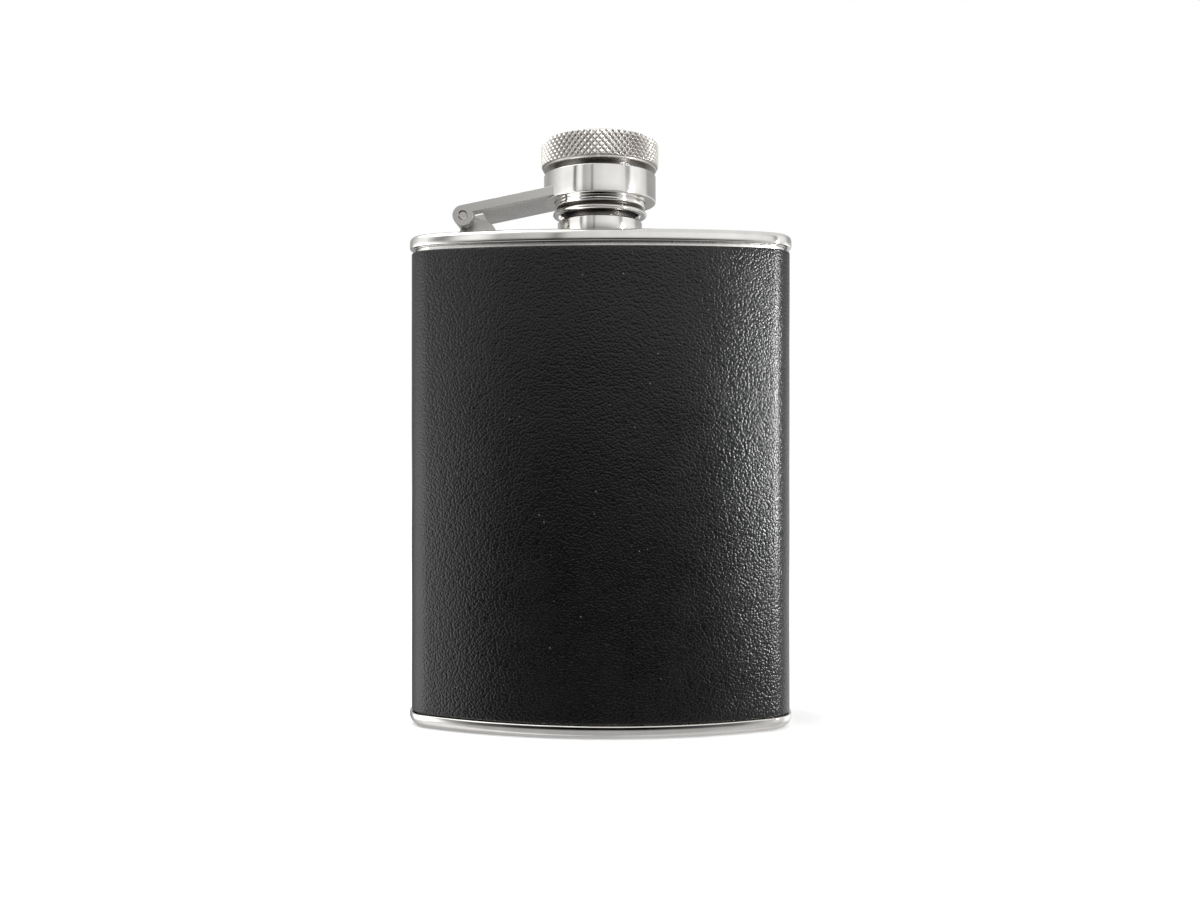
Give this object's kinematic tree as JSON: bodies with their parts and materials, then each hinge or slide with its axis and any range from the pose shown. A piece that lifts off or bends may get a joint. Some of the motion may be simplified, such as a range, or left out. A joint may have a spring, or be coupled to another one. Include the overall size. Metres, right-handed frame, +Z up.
{
  "type": "hip flask",
  "caption": "Curved pocket flask with a leather wrap, polished steel rims and a knurled screw cap held captive on a hinged arm.",
  "frame": {"origin": "middle of the base, on the surface the flask stands on", "axes": "+Z up along the neck, +X to the right seen from the bulging front, -Y out of the bulging front face; the cap's arm hinges on the -X side"},
  "size_m": [0.07, 0.0239, 0.1058],
  "materials": {
    "polished_steel": "polished stainless steel",
    "satin_steel": "satin stainless steel",
    "knurled_steel": "polished, with a cross knurl",
    "pin_steel": "turned",
    "black_leather": "fine grain, semi-gloss",
    "backing_film": "matt",
    "seal_rubber": "matt"
  },
  "bodies": {
    "flask": {"body_shell": "satin_steel", "top_plate": "polished_steel", "base_plate": "polished_steel", "neck": "polished_steel", "leather_wrap": "black_leather", "wrap_backing": "backing_film", "hinge_bracket": "polished_steel", "hinge_pin": "pin_steel"},
    "arm": {"arm_strap": "polished_steel", "arm_collar": "polished_steel"},
    "seal": {"cap_seal": "seal_rubber"},
    "cap": {"cap_head": "knurled_steel", "cap_sleeve": "polished_steel"}
  },
  "joints": [
    {"name": "arm_swing", "type": "hinge", "parent": "flask", "child": "arm", "pos_m": [-0.0242, -0.0012, 0.0918], "axis": [0, -1, 0], "range_deg": [0, 170]},
    {"name": "cap_lift", "type": "slide", "parent": "arm", "child": "seal", "axis": [0, 0, 1], "range_m": [-0.0008, 0]},
    {"name": "cap_turn", "type": "hinge", "parent": "seal", "child": "cap", "pos_m": [0, -0.0012, 0.096], "axis": [0, 0, 1], "range_deg": [-360, 0]}
  ],
  "couplings": [
    {"joint": "cap_lift", "follows": "cap_turn", "m_per_rad": 0.00012732}
  ]
}
